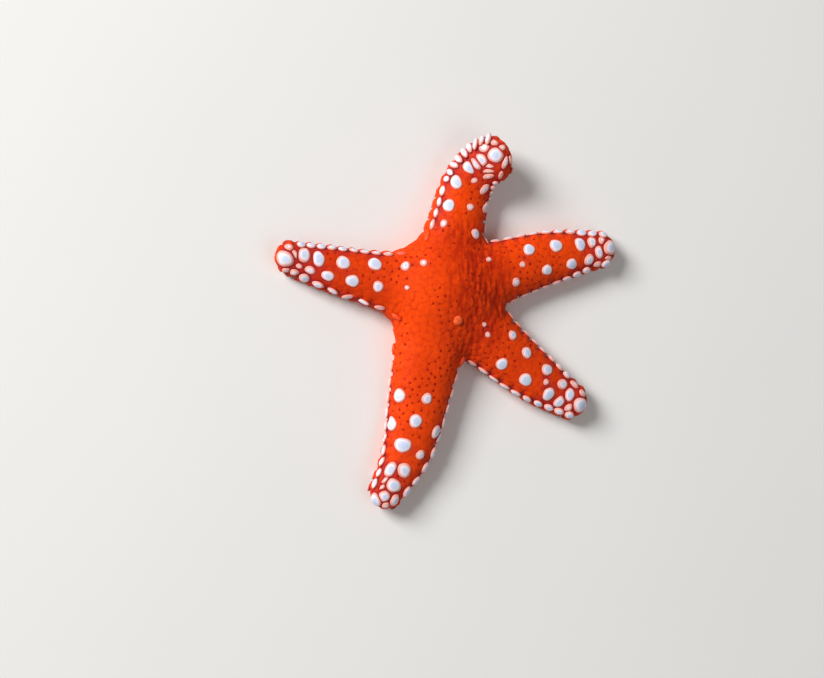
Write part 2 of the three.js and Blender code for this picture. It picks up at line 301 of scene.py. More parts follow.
def finish_piece(piece, material, slot, *nodes):
    """A finished piece gets its material, rides on the body and stands for its nodes."""
    piece.data.materials.clear()
    piece.data.materials.append(material)
    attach(piece, "root")
    if nodes:
        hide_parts(*nodes)


def surface_net(values, low, pitch):
    """Points and quads over the zero level of a grid whose values are positive inside."""
    inside = values > 0
    shape = np.array(values.shape) - 1
    corners = [np.array((i, j, k)) for i in (0, 1) for j in (0, 1) for k in (0, 1)]

    def shifted(c):
        return inside[c[0] : c[0] + shape[0], c[1] : c[1] + shape[1], c[2] : c[2] + shape[2]]

    count = sum(shifted(c).astype(np.int8) for c in corners)
    mixed = (count > 0) & (count < 8)
    cells = np.argwhere(mixed)
    number = np.full(shape, -1)
    number[mixed] = np.arange(len(cells))
    total = np.zeros((len(cells), 3))
    hits = np.zeros(len(cells))
    for corner in corners:
        for way in np.flatnonzero(corner == 0):
            other = corner.copy()
            other[way] = 1
            a = values[tuple((cells + corner).T)]
            b = values[tuple((cells + other).T)]
            crossed = (a > 0) != (b > 0)
            place = (cells + corner).astype(float)
            place[:, way] += np.where(crossed, a / np.where(crossed, a - b, 1), 0)
            total += place * crossed[:, None]
            hits += crossed
    quads = []
    for way in range(3):
        u, v = (way + 1) % 3, (way + 2) % 3
        start = np.take(inside, range(shape[way]), way)
        end = np.take(inside, range(1, shape[way] + 1), way)
        edges = np.argwhere(start != end)
        leaving = start[tuple(edges.T)]
        ring = []
        for du, dv in ((-1, -1), (0, -1), (0, 0), (-1, 0)):
            cell = edges.copy()
            cell[:, u] += du
            cell[:, v] += dv
            ring.append(number[tuple(cell.T)])
        quad = np.stack(ring, 1)
        quads.append(np.where(leaving[:, None], quad, quad[:, ::-1]))
    return low + pitch * total / hits[:, None], np.vstack(quads)


def body_grid(pitch):
    """The field on a grid round the body, exact near the surface and roughly known elsewhere."""
    low = np.array(CAD_BOX[0]) / MM - DISC_CENTRE - 3.5 * pitch
    high = np.array(CAD_BOX[1]) / MM - DISC_CENTRE + 3.5 * pitch
    shape = np.ceil((high - low) / pitch / 3).astype(int) * 3
    axes = [low[i] + pitch * np.arange(shape[i]) for i in range(3)]
    coarse_points = np.stack(np.meshgrid(*[ax[1::3] for ax in axes], indexing="ij"), -1)
    coarse = body(coarse_points.reshape(-1, 3)).reshape(coarse_points.shape[:3])
    values = coarse
    for way in range(3):
        values = np.repeat(values, 3, way)
    near = np.argwhere(np.abs(values) < 4.5 * pitch)
    values[tuple(near.T)] = body(low + pitch * near)
    return values, low


def patchiness(points, size):
    """Smooth noise from about -0.5 to 0.5 in patches of the given size in millimetres."""
    return np.array([noise_at(Vector(p) / size) for p in points])


STEPS_AROUND = [(x, y, z) for x in (-1, 0, 1) for y in (-1, 0, 1) for z in (-1, 0, 1)]


def scatter(points, spacing, seed):
    """Numbers of points drawn at random so that no two lie closer than the spacing."""
    cells = {}
    kept = []
    for i in np.random.default_rng(seed).permutation(len(points)):
        p = points[i]
        a, b, c = np.floor(p / spacing).astype(int)
        around = [cells.get((a + x, b + y, c + z), ()) for x, y, z in STEPS_AROUND]
        if all(math.dist(p, q) >= spacing for cell in around for q in cell):
            cells.setdefault((a, b, c), []).append(tuple(p))
            kept.append(i)
    return np.array(kept)


# ---- Plates on the back ------------------------------------------------------------------------------

# share of the arm's length, place across from its left edge (-1) to its right (1), length and width in
# millimetres, and degrees that the length is turned to the left of the arm's direction, if any
BACK_PLATES = (
    (
        (0.38, -0.6, 1.5, 1.35), (0.49, -0.6, 2.3, 2.3), (0.635, -0.6, 2.7, 2.2, 48),
        (0.752, -0.46, 3.0, 1.8, 86), (0.803, -0.32, 2.7, 1.35, 97), (0.858, -0.27, 2.5, 1.6, 98),
        (0.9, -0.68, 1.75, 1.6), (0.942, -0.2, 2.7, 2.6), (0.88, 0.13, 1.7, 0.7, -32),
        (0.85, 0.27, 2.0, 0.75, -33), (0.822, 0.43, 2.0, 1.0, -27), (0.69, 0.57, 2.3, 1.5, -21),
        (0.705, 0.02, 1.3, 1.0, -50), (0.55, 0.84, 2.5, 1.6, -20), (0.515, 0.19, 1.4, 1.4),
        (0.375, 0.58, 1.9, 1.9), (0.965, 0.53, 2.5, 0.95, 30), (0.9, 0.75, 1.6, 0.75, 35),
        (0.985, -0.62, 1.2, 0.95), (0.955, -0.85, 1.3, 1.1), (0.985, 0.9, 1.4, 0.8, 10),
    ),
    (
        (0.438, 0.48, 2.5, 2.5), (0.62, 0.32, 2.5, 2.6), (0.762, 0.25, 2.9, 2.2, -68),
        (0.855, 0.3, 2.5, 2.0, -75), (0.912, 0.22, 1.6, 0.75, -48), (0.957, -0.32, 3.0, 2.6),
        (0.547, -0.33, 2.4, 2.3), (0.397, -0.3, 2.0, 2.0), (0.688, -0.4, 2.3, 1.9), (0.795, -0.4, 1.9, 1.4),
        (0.867, -0.4, 1.1, 0.8), (0.882, -0.78, 1.8, 1.05, 10), (0.925, -0.87, 1.4, 0.95, 15),
        (0.265, 0.5, 1.65, 1.9), (0.24, -0.12, 0.9, 0.9), (0.17, 0.55, 1.3, 1.4), (0.95, 0.62, 1.5, 1.1, -20),
    ),
    (
        (0.485, 0.8, 2.7, 2.3), (0.477, -0.05, 2.05, 2.05), (0.582, 0.18, 2.45, 2.5),
        (0.615, 0.9, 2.9, 2.0, 12), (0.61, -0.71, 2.7, 2.0, -12), (0.702, 0.43, 2.8, 3.1),
        (0.718, -0.37, 1.8, 1.8), (0.838, 0.55, 2.4, 1.7, -10), (0.808, -0.03, 2.4, 2.6),
        (0.9, 0.03, 2.2, 2.5), (0.9, 0.56, 1.8, 0.6, -16), (0.937, 0.52, 1.3, 0.6, -10),
        (0.965, 0.12, 2.0, 1.95), (0.994, 0.8, 2.5, 2.0, 50), (0.985, -0.62, 1.4, 1.2),
        (0.948, -0.6, 2.3, 1.5, 16),
    ),
    (
        (0.42, -0.5, 1.9, 1.8), (0.47, 0.5, 2.3, 2.3), (0.54, -0.4, 2.1, 2.2), (0.62, 0.42, 2.5, 2.5),
        (0.69, -0.42, 2.3, 2.3), (0.77, 0.38, 2.7, 2.2, 75), (0.815, -0.35, 2.1, 1.8, 60),
        (0.85, 0.45, 2.2, 1.6, 80), (0.885, -0.12, 2.4, 1.6, 95), (0.885, -0.72, 1.8, 1.1),
        (0.915, 0.5, 1.7, 1.1, 70), (0.965, 0.05, 2.7, 2.7), (0.31, 0.1, 1.1, 1.1), (0.945, -0.66, 1.4, 1.2),
        (0.72, 0.02, 1.2, 1.2), (0.26, -0.05, 1.0, 0.9),
    ),
    (
        (0.38, 0.45, 1.7, 1.7), (0.5, -0.48, 2.3, 2.3), (0.57, 0.4, 2.1, 2.1), (0.65, -0.42, 2.5, 2.6),
        (0.72, 0.42, 2.2, 2.2), (0.79, -0.35, 2.6, 2.1, 80), (0.835, 0.42, 2.0, 1.7, 65),
        (0.865, -0.42, 2.1, 1.5, 85), (0.9, 0.12, 2.3, 1.4, 95), (0.89, 0.72, 1.7, 1.0),
        (0.925, -0.54, 1.6, 1.1, 70), (0.968, -0.05, 2.7, 2.6), (0.44, -0.05, 1.2, 1.2),
        (0.95, 0.62, 1.4, 1.1), (0.27, -0.5, 1.1, 1.0),
    ),
)
# Each edge of an arm: angle above the arm's axis of its upper row near the disc and near the tip, half height
# of its plates near the tip in millimetres, angle of its lower row near the tip, the bead from which its
# plates leave the beads' distance, and their own distance as a share of that. Left edge first.
Edge = namedtuple("Edge", "root tip tall below first spacing")
EDGES = (
    (Edge(22, 17, 1.6, -27, 6, 0.6), Edge(11, 28, 0.7, -18, 1, 1)),
    (Edge(20, 29, 0.95, -18, 0.45, 1.4), Edge(24, 28, 0.62, -22, 1, 1)),
    (Edge(20, 29, 0.72, -18, 1, 1), Edge(-4, 20, 0.46, -22, 1, 1)),
    (Edge(12, 28, 0.78, -18, 1, 1), Edge(12, 28, 0.78, -18, 1, 1)),
    (Edge(12, 28, 0.78, -18, 1, 1), Edge(12, 28, 0.78, -18, 1, 1)),
)
# angle of the lower rows near the disc, and half the height of each row's plates there
LOWER_ROOT_LIFT = -17
ROOT_HEIGHTS = {"upper_margin_plates": 0.5, "lower_margin_plates": 0.42}
# limits for half the height of lower plates, half the length of all, and their distance from the floor
LOWER_TALLEST = 0.75
LONGEST_HALF = 1.15
FLOOR_ROOM = 0.2
# how far margin plates are turned at random, in radians
MARGIN_TURN = 0.2
# waves round a back plate's outline and their heights as shares of its radius
WOBBLES = ((2, 0.05), (3, 0.035), (5, 0.012))
# how sharply an outline turns from its own oval into a seam, and how near a seam may come to its middle
SHARPNESS = 8
LEAST_REACH = 0.3
# how far back plates push in under margin plates, as a share of these
UNDERLAP = 0.15
Plates = namedtuple("Plates", "places normals along radii outlines blush")
Row = namedtuple("Row", "places normals along size blush")


def margin_row(name, back):
    """Places, directions, half sizes and blush of one row of margin plates, one plate on every free bead."""
    lower = name == "lower_margin_plates"
    low = ROOT_HEIGHTS[name]
    rng = np.random.default_rng(23)
    parts = []
    for axis, edges in zip(AXES, EDGES):
        for side, edge in zip((1, -1), edges):
            steps = np.arange(edge.first, MARGIN_PLATES - 0.4, edge.spacing)
            steps = np.append(np.arange(1, edge.first), steps)
            share = MARGIN_START + (1 - MARGIN_START) * (steps / MARGIN_PLATES) ** (1 / MARGIN_CROWDING)
            outer = smooth((share - 0.5) / 0.4)
            root_lift, tip_lift = (LOWER_ROOT_LIFT, edge.below) if lower else (edge.root, edge.tip)
            places, normals, t = on_side(axis, share, side, root_lift + (tip_lift - root_lift) * outer)
            # plates between two beads are raised nearly to the height of those on the beads
            places = places + normals * (0.75 * BEAD_HEIGHT * np.sin(math.pi * steps) ** 2)[:, None]
            along = unit(t - normals * dots(t, normals)[:, None])
            gaps = np.linalg.norm(np.diff(places, axis=0), axis=1)
            half = 0.49 * np.minimum([*gaps, gaps[-1]], [gaps[0], *gaps]) * rng.uniform(0.9, 1.04, len(share))
            half = np.minimum(half, LONGEST_HALF)
            high = min(edge.tall, LOWER_TALLEST) if lower else edge.tall
            tall = (low + (high - low) * outer) * rng.uniform(0.88, 1.1, len(share))
            tall = np.minimum(tall, places[:, 2] - FLOOR_ROOM - MARGIN_TURN * half)
            size = np.stack([half, tall, 0.2 + 0.12 * tall], 1)
            # towards the disc the plates blush until they have the skin's colour
            blush = 0.35 + 0.5 * smooth((0.5 - share) / 0.15) + 0.75 * smooth((0.35 - share) / 0.08)
            blush += rng.uniform(-0.22, 0.18, len(share)) + 0.4 * lower * (1 - outer)
            free = (np.abs(body(places)) < BEAD_HEIGHT) & (tall > 0.2)
            for place, normal, way, radii in zip(*back):
                off = places - place
                x = off @ way
                y = off @ np.cross(normal, way)
                free &= np.hypot(x / (radii[0] + 0.1), y / (radii[1] + 0.3)) > 1
            parts.append([rows[free] for rows in (places, normals, along, size, blush)])
    return Row(*joined(parts))


def lay_plates(gap, sides):
    """The large plates, which give way where their neighbours press on them, and the rows on the margins."""
    parts = []
    for axis, rows in zip(AXES, BACK_PLATES):
        share, across, length, width, turn = np.array([(*row, 0)[:5] for row in rows]).T
        turn = np.radians(turn)[:, None]
        at = axis.at(share * axis.arm.length)
        place, normal = on_back(axis, share, across)
        way = unit(at.t - normal * dots(at.t, normal)[:, None])
        way = way * np.cos(turn) + np.cross(normal, way) * np.sin(turn)
        # half sizes, a little more near the tip, where seams cut the plates back
        swell = 0.5 + 0.09 * smooth((share - 0.76) / 0.1)
        parts.append((place, normal, way, np.stack([length, width], 1) * swell[:, None]))
    back = joined(parts)
    margins = {name: margin_row(name, back) for name in ROOT_HEIGHTS}
    edge = margins["upper_margin_plates"]
    count = len(back[0])
    columns = zip(back, (edge.places, edge.normals, edge.along, edge.size[:, :2]))
    places, normals, along, radii = (np.vstack(column) for column in columns)
    aside = np.cross(normals, along)
    rng = np.random.default_rng(11)
    around = np.linspace(0, 2 * math.pi, sides, endpoint=False)
    outlines = []
    for i in range(count):
        ways = np.outer(np.cos(around), along[i]) + np.outer(np.sin(around), aside[i])
        wobble = sum(
            amount * np.cos(turns * around + rng.uniform(0, 2 * math.pi))
            for turns, amount in WOBBLES
        )
        oval = np.hypot(np.cos(around) / radii[i, 0], np.sin(around) / radii[i, 1])
        pull = (oval / (1 + wobble)) ** SHARPNESS
        close = np.linalg.norm(places - places[i], axis=1) < radii[i].max() + radii.max(1) + 1
        for j in np.flatnonzero(close):
            if i != j:
                away = places[j] - places[i]
                far = np.linalg.norm(away)
                own, other = (
                    far / np.hypot(away @ along[k] / radii[k, 0], away @ aside[k] / radii[k, 1])
                    for k in (i, j)
                )
                limit = far * own / (own + other) if j < count else far - other * (1 - UNDERLAP)
                pull += (np.maximum(0, ways @ away / far) / max(limit - gap / 2, LEAST_REACH)) ** SHARPNESS
        outlines.append(pull ** (-1 / SHARPNESS))
    # small plates and those near the tip blush more
    small = smooth((2.5 - np.sqrt(4 * radii[:count].prod(1))) / 1.3)
    late = np.concatenate([[row[0] > 0.8 for row in rows] for rows in BACK_PLATES])
    blush = np.clip(small * 0.8 + 0.22 * late + rng.uniform(-0.1, 0.15, count), 0, 1)
    own = (rows[:count] for rows in (places, normals, along, radii))
    return Plates(*own, np.array(outlines), blush), margins


# ---- Materials ---------------------------------------------------------------------------------------


def add(tree, kind, inputs=(), **settings):
    """A node with its settings, whose inputs take values or other nodes' outputs."""
    made = tree.nodes.new(kind)
    for key, value in settings.items():
        setattr(made, key, value)
    for key, value in dict(inputs).items():
        if isinstance(value, bpy.types.NodeSocket):
            tree.links.new(value, made.inputs[key])
        else:
            made.inputs[key].default_value = value
    return made


def maths(tree, operation, *values, clamp=False):
    return add(tree, "ShaderNodeMath", enumerate(values), operation=operation, use_clamp=clamp).outputs[0]


def rgba(colour):
    """A colour's four numbers; a node's output stays as it is."""
    return colour if isinstance(colour, bpy.types.NodeSocket) else (*colour, 1.0)


def blend(tree, factor, a, b):
    inputs = {0: factor, 6: rgba(a), 7: rgba(b)}
    return add(tree, "ShaderNodeMix", inputs, data_type="RGBA").outputs[2]


def stretch(tree, value, low, high, to_low=0.0, to_high=1.0):
    """value moved from the range low to high onto another, smoothly and clamped."""
    inputs = {0: value, 1: low, 2: high, 3: to_low, 4: to_high}
    return add(tree, "ShaderNodeMapRange", inputs, interpolation_type="SMOOTHSTEP").outputs[0]


def noise(tree, coords, size, detail=2.0, roughness=0.5):
    """Noise whose features are about size millimetres across."""
    inputs = {"Vector": coords, "Scale": 1 / (size * MM), "Detail": detail, "Roughness": roughness}
    return add(tree, "ShaderNodeTexNoise", inputs).outputs["Fac"]


def grains(tree, coords, size):
    """Distance from the middles of rounded grains about size millimetres apart."""
    inputs = {"Vector": coords, "Scale": 1 / (size * MM), "Smoothness": 0.4}
    return add(tree, "ShaderNodeTexVoronoi", inputs, feature="SMOOTH_F1").outputs["Distance"]


def attribute(tree, name):
    return add(tree, "ShaderNodeAttribute", attribute_name=name).outputs["Fac"]


def new_material(name):
    """A node material with its shader, its tree and its object coordinates."""
    material = bpy.data.materials.new(name)
    material.use_nodes = True
    tree = material.node_tree
    shader = tree.nodes["Principled BSDF"]
    return material, tree, shader, add(tree, "ShaderNodeTexCoord").outputs["Object"]


def connect(tree, shader, colour, roughness, height, depth, gloss=0.5):
    """Colour, roughness, a bump of depth millimetres and gloss, given to the shader."""
    bump = add(tree, "ShaderNodeBump", {"Height": height, "Distance": depth * MM})
    tree.links.new(colour, shader.inputs["Base Color"])
    tree.links.new(roughness, shader.inputs["Roughness"])
    tree.links.new(bump.outputs[0], shader.inputs["Normal"])
    shader.inputs["Specular IOR Level"].default_value = gloss


def soften(shader, weight, depth, colour=(1.0, 0.35, 0.2)):
    """Light scattered below the surface, to a depth in millimetres."""
    shader.inputs["Subsurface Weight"].default_value = weight
    shader.inputs["Subsurface Radius"].default_value = colour
    shader.inputs["Subsurface Scale"].default_value = depth * MM


def skin_material(colours):
    """Orange-red skin, deeper in random patches, with painted shade on the rough flank, in the seams, where
    three small plates meet and round pale plates, painted highlights on its grains, paler below and crimson
    between crowded plates.
    """
    material, tree, shader, coords = new_material("orange_red_skin")
    patch = stretch(tree, noise(tree, coords, 8, 3, 0.6), 0.36, 0.66)
    fine = noise(tree, coords, 0.9, 3, 0.6)
    grain = grains(tree, coords, 0.26)
    names = ("valley", "ring", "crowd", "belly", "rough", "deep", "junction")
    valley, ring, crowd, belly, rough, deep, junction = (attribute(tree, name) for name in names)
    # mottle is random tone; lines sets how much painted shade the seams between small plates take, more on
    # the rough flank
    mottle = stretch(tree, fine, 0.42, 0.64, 0.0, 0.2)
    lines = maths(tree, "MULTIPLY_ADD", rough, 0.2, stretch(tree, fine, 0.35, 0.7, 0.0, 0.25))
    colour = colours.skin
    # darker red in random patches, then painted shade: over the rough flank and between its wrinkles (deep),
    # where three small plates meet round the gills (with the random mottle), and in the seams between small
    # plates
    for deeper in (
        maths(tree, "MULTIPLY", patch, 0.3),
        deep,
        maths(tree, "MULTIPLY_ADD", junction, 0.35, mottle, clamp=True),
        maths(tree, "MULTIPLY", valley, lines),
    ):
        colour = blend(tree, deeper, colour, colours.skin_deep)
    # painted highlights: the tops of the small grains lightened towards bright orange
    colour = blend(tree, stretch(tree, grain, 0.08, 0.3, 0.14, 0.0), colour, (1.0, 0.2, 0.02))
    # on the belly, random patches and painted shade in the seams take the back's red
    mosaic = stretch(tree, fine, 0.38, 0.68, 0.0, 0.45)
    mosaic = maths(tree, "MULTIPLY_ADD", valley, 0.45, mosaic, clamp=True)
    under = blend(tree, mosaic, colours.belly, colours.skin)
    under = blend(tree, stretch(tree, grain, 0.08, 0.35, 0.35, 0.0), under, colours.granule)
    colour = blend(tree, maths(tree, "MULTIPLY", belly, 0.9), colour, under)
    colour = blend(tree, maths(tree, "MULTIPLY", crowd, 0.75), colour, colours.tip_skin)
    # painted shade: dark crimson in the seams round pale plates, deeper where plates crowd
    seam = maths(tree, "MULTIPLY", ring, maths(tree, "MULTIPLY_ADD", crowd, 0.45, 0.27))
    colour = blend(tree, seam, colour, colours.gap)
    roughness = stretch(tree, grain, 0.1, 0.5, 0.44, 0.62)
    height = maths(tree, "MULTIPLY_ADD", grain, -0.6, maths(tree, "MULTIPLY", fine, 0.8))
    connect(tree, shader, colour, roughness, height, 0.05, 0.08)
    soften(shader, 0.1, 0.6)
    return material


def plate_material(colours):
    """Lavender to white plates with a pinkish edge; a blush above 1 turns them to skin."""
    material, tree, shader, coords = new_material("pale_plates")
    rim = attribute(tree, "rim")
    blush = attribute(tree, "blush")
    cloud = noise(tree, coords, 0.7, 2)
    grain = grains(tree, coords, 0.2)
    outer = maths(tree, "MULTIPLY_ADD", maths(tree, "SUBTRACT", cloud, 0.5), 0.4, rim)
    outer = maths(tree, "MULTIPLY_ADD", maths(tree, "MINIMUM", blush, 1.0), 0.5, outer)
    colour = colours.plate
    for factor, other in (
        (stretch(tree, outer, 0.42, 0.7), colours.plate_pale),
        (stretch(tree, outer, 0.66, 0.98), colours.plate_rim),
        (stretch(tree, grain, 0.25, 0.6, 0.0, 0.16), (0.42, 0.36, 0.55)),
        (stretch(tree, blush, 0.95, 1.4), colours.skin),
        (stretch(tree, rim, 0.96, 1.05, 0.0, 0.8), colours.tip_skin),
    ):
        colour = blend(tree, factor, colour, other)
    roughness = stretch(tree, cloud, 0.3, 0.7, 0.34, 0.5)
    connect(tree, shader, colour, roughness, maths(tree, "MULTIPLY", grain, -1.0), 0.03, 0.35)
    soften(shader, 0.12, 0.35, (1.0, 0.7, 0.6))
    return material


def flesh_material(name, colour, tip, size, rough=0.4, gloss=0.5):
    """Soft wet tissue that pales or darkens towards the tip attribute."""
    material, tree, shader, coords = new_material(name)
    cloud = noise(tree, coords, size, 3)
    shade = blend(tree, attribute(tree, "tip"), colour, tip)
    dark = tuple(0.55 * c for c in colour)
    shade = blend(tree, stretch(tree, cloud, 0.4, 0.7, 0.0, 0.4), shade, dark)
    roughness = stretch(tree, cloud, 0.3, 0.7, rough - 0.08, rough + 0.1)
    connect(tree, shader, shade, roughness, cloud, 0.03, gloss)
    soften(shader, 0.25, 0.4)
    return material


# ---- Geometry Nodes ----------------------------------------------------------------------------------


def random_between(tree, low, high, seed):
    # inputs 2 and 3 are the limits of a plain number
    inputs = {2: low, 3: high, "Seed": seed}
    return add(tree, "FunctionNodeRandomValue", inputs, data_type="FLOAT").outputs[1]


def row_tree():
    """Sets a piece on every point, standing along its facing and turned to its along direction."""
    tree = bpy.data.node_groups.new("rows_of_pieces", "GeometryNodeTree")
    tree.interface.new_socket("Geometry", in_out="OUTPUT", socket_type="NodeSocketGeometry")
    sockets = {"Geometry": "Geometry", "Piece": "Object", "Spread": "Float", "Turn": "Float", "Seed": "Int"}
    for label, kind in (*sockets.items(), ("Material", "Material")):
        tree.interface.new_socket(label, in_out="INPUT", socket_type="NodeSocket" + kind)
    inputs = add(tree, "NodeGroupInput").outputs
    facing, along, size = (
        add(tree, "GeometryNodeInputNamedAttribute", {"Name": key}, data_type="FLOAT_VECTOR").outputs[0]
        for key in ("facing", "along", "size")
    )
    axes = {"Primary Axis": facing, "Secondary Axis": along}
    stand = add(tree, "FunctionNodeAxesToRotation", axes, primary_axis="Z", secondary_axis="X").outputs[0]
    other_way = maths(tree, "MULTIPLY", inputs["Turn"], -1.0)
    angle = random_between(tree, other_way, inputs["Turn"], inputs["Seed"])
    spin = add(tree, "FunctionNodeAxisAngleToRotation", {"Axis": (0, 0, 1), "Angle": angle}).outputs[0]
    turns = {"Rotation": stand, "Rotate By": spin}
    turned = add(tree, "FunctionNodeRotateRotation", turns, rotation_space="LOCAL").outputs[0]
    low, high = (maths(tree, way, 1.0, inputs["Spread"]) for way in ("SUBTRACT", "ADD"))
    growth = random_between(tree, low, high, inputs["Seed"])
    scale = add(tree, "ShaderNodeVectorMath", {0: size, "Scale": growth}, operation="SCALE").outputs[0]
    piece = add(tree, "GeometryNodeObjectInfo", {"Object": inputs["Piece"]}).outputs["Geometry"]
    laid = {"Points": inputs["Geometry"], "Instance": piece, "Rotation": turned, "Scale": scale}
    made = add(tree, "GeometryNodeInstanceOnPoints", laid).outputs[0]
    made = add(tree, "GeometryNodeRealizeInstances", {"Geometry": made}).outputs[0]
    made = add(tree, "GeometryNodeSetShadeSmooth", {"Geometry": made}).outputs[0]
    named = {"Geometry": made, "Material": inputs["Material"]}
    made = add(tree, "GeometryNodeSetMaterial", named).outputs[0]
    add(tree, "NodeGroupOutput", {"Geometry": made})
    return tree


def grow(name, carrier, tree, values):
    """The plain mesh that a tree makes of a carrier object."""
    modifier = carrier.modifiers.new("pieces", "NODES")
    modifier.node_group = tree
    for item in tree.interface.items_tree:
        if item.in_out == "INPUT" and item.name in values:
            modifier[item.identifier] = values[item.name]
    depsgraph = bpy.context.evaluated_depsgraph_get()
    mesh = bpy.data.meshes.new_from_object(carrier.evaluated_get(depsgraph), depsgraph=depsgraph)
    carrier.modifiers.remove(modifier)
    if not mesh.polygons:
        raise RuntimeError(f"{name} came out empty")
    mesh.name = name
    made = bpy.data.objects.new(name, mesh)
    bpy.context.collection.objects.link(made)
    return made


def set_pieces(name, shape, rows, material, slot, spread, turn, seed):
    """Copies of a shape, which then goes, on rows of places, facings, alongs, half sizes and any blush."""
    places, facing, along, size, *blush = rows
    facts = {"facing": facing, "along": along, "size": np.asarray(size) * MM}
    if blush:
        facts["blush"] = blush[0]
    carrier = mesh_object(name + "_points", to_frame(places), (), facts)
    values = {"Piece": shape, "Spread": spread, "Turn": turn, "Seed": seed, "Material": material}
    piece = grow(name, carrier, bpy.data.node_groups.get("rows_of_pieces") or row_tree(), values)
    finish_piece(piece, material, slot)
    for item in (carrier, shape):
        bpy.data.objects.remove(item, do_unlink=True)


def turned_piece(name, profile, sides, key="tip", roundness=2.0):
    """A round piece from a profile of (radius, height, key's value) that starts and ends on its axis."""
    _, ways = circle(sides)
    ways /= (np.abs(ways) ** roundness).sum(1, keepdims=True) ** (1 / roundness)
    blocks = [ways * radius + (0, 0, height) for radius, height, _ in profile]
    blocks[0], blocks[-1] = blocks[0][:1], blocks[-1][:1]
    values = [np.full(len(block), row[2]) for block, row in zip(blocks, profile)]
    faces = stacked_faces(0, len(profile) - 2, sides)
    return mesh_object(name, np.vstack(blocks), faces, {key: np.concatenate(values)})


# ---- Settings ----------------------------------------------------------------------------------------


def number_setting(name, description, value, **facts):
    return bpy.props.FloatProperty(name=name, description=description, default=value, min=0.0, **facts)


def length_setting(name, description, millimetres):
    return number_setting(name, description, millimetres * MM, unit="LENGTH", precision=5)


def colour_setting(name, description, colour):
    return bpy.props.FloatVectorProperty(
        name=name, description=description, default=colour, size=3, min=0.0, max=1.0, subtype="COLOR"
    )


class SeaStarForm(bpy.types.PropertyGroup):
    skin_pitch: length_setting("Skin pitch", "Width of the skin's faces", 0.236)
    tile_size: length_setting("Tile size", "Distance between the small plates under the skin", 1.25)
    tile_relief: length_setting("Tile relief", "Depth of the seams between the small plates", 0.1)
    plate_gap: length_setting("Plate gap", "Width of the seams between crowded pale plates", 0.16)
    plate_rise: number_setting("Plate rise", "Height of a pale plate as a share of its diameter", 0.12)
    gill_spacing: length_setting("Gill spacing", "Least distance between two skin gills", 1.0)
    gill_width: length_setting("Gill width", "Width of a skin gill", 0.45)
    foot_spacing: length_setting("Foot spacing", "Distance between tube feet along a furrow", 0.95)
    spine_spacing: length_setting("Spine spacing", "Distance between furrow spines", 0.62)


class SeaStarColours(bpy.types.PropertyGroup):
    skin: colour_setting("Skin", "Bright orange-red of the back", (0.86, 0.062, 0.0015))
    # deep skin serves for random patches and for painted shade on the rough flank, in seams, where small
    # plates meet and in the sieve plate's grooves
    skin_deep: colour_setting("Deep skin", "Darker red in patches and seams", (0.42, 0.014, 0.0015))
    tip_skin: colour_setting("Tip skin", "Crimson skin between crowded plates", (0.44, 0.018, 0.016))
    gill: colour_setting("Gills", "Dark red of the skin gills", (0.42, 0.014, 0.002))
    # the seams' colour is painted shade round the pale plates
    gap: colour_setting("Seams", "Dark crimson seams round crowded plates", (0.16, 0.005, 0.022))
    belly: colour_setting("Belly", "Paler orange of the underside", (0.82, 0.22, 0.045))
    granule: colour_setting("Granules", "Cream grains on the underside", (0.95, 0.5, 0.2))
    plate: colour_setting("Plate middle", "Lavender in the middle of a plate", (0.58, 0.66, 0.84))
    plate_pale: colour_setting("Plate", "White round the middle of a plate", (0.86, 0.8, 0.86))
    plate_rim: colour_setting("Plate rim", "Pinkish peach round a plate's edge", (0.93, 0.37, 0.27))
    foot: colour_setting("Tube feet", "Orange of the tube feet", (0.85, 0.2, 0.03))
    sieve: colour_setting("Sieve plate", "Orange of the sieve plate", (0.9, 0.095, 0.006))


class SeaStarStage(bpy.types.PropertyGroup):
    floor: colour_setting("Floor", "Pale floor", (0.82, 0.81, 0.79))
    key_power: number_setting("Key light", "Power of the main soft light", 11.0, unit="POWER")
    fill_power: number_setting("Fill light", "Power of the weaker light opposite", 0.8, unit="POWER")
    sky: number_setting("Sky", "Strength of the even light from all sides", 0.2)


# ---- Operators ---------------------------------------------------------------------------------------


# how far beyond a plate's edge the skin is measured, a distance that stands for no plate, and the blush from
# which a margin plate is no longer pale
PLATE_SEARCH = 1.2
NO_PLATE = 9.0
SKIN_BLUSH = 1.1


def edge_distances(points, tree, plates, rows):
    """How far each point lies beyond the edges of the nearest and second nearest pale plate."""
    near = np.full(len(points), NO_PLATE)
    second = near.copy()

    def measure(place, normal, along, reach, edge):
        found = np.array([item[1] for item in tree.find_range(place, reach + PLATE_SEARCH)], int)
        off = points[found] - place
        x = off @ along
        y = off @ np.cross(normal, along)
        beyond = np.linalg.norm(off, axis=1) - edge(x, y)
        second[found] = np.minimum(second[found], np.maximum(near[found], beyond))
        near[found] = np.minimum(near[found], beyond)

    sides = plates.outlines.shape[1]
    for place, normal, along, outline in zip(plates.places, plates.normals, plates.along, plates.outlines):

        def lobed(x, y):
            step = np.arctan2(y, x) / (2 * math.pi) % 1 * sides
            return np.interp(step, range(sides + 1), [*outline, outline[0]])

        measure(place, normal, along, outline.max(), lobed)
    for row in rows:
        pale = row.blush < SKIN_BLUSH
        for place, normal, along, size in zip(*(column[pale] for column in row[:4])):

            def oval(x, y):
                return np.hypot(x, y) / np.maximum(np.hypot(x / size[0], y / size[1]), 1e-6)

            measure(place, normal, along, size.max(), oval)
    return near, second


# how many wrinkles of the disc's rough side fit into a millimetre across, along and up
WRINKLE_SCALES = (1.7, 0.55, 0.9)
# least distance between the middles of small plates, as a share of their size
TILE_PACKING = 0.82
# widths of the seams between small plates, of the places where three meet, and of the seams round pale ones
SEAM_WIDTH = 0.42
MEETING_WIDTH = 0.3
RING_WIDTH = 0.28
# depths of the seams round pale plates and of the wrinkles
RING_DEPTH = 0.05
WRINKLE_DEPTH = 0.16


def search_tree(points, numbers):
    tree = kdtree.KDTree(len(numbers))
    for i in numbers:
        tree.insert(points[i], int(i))
    tree.balance()
    return tree


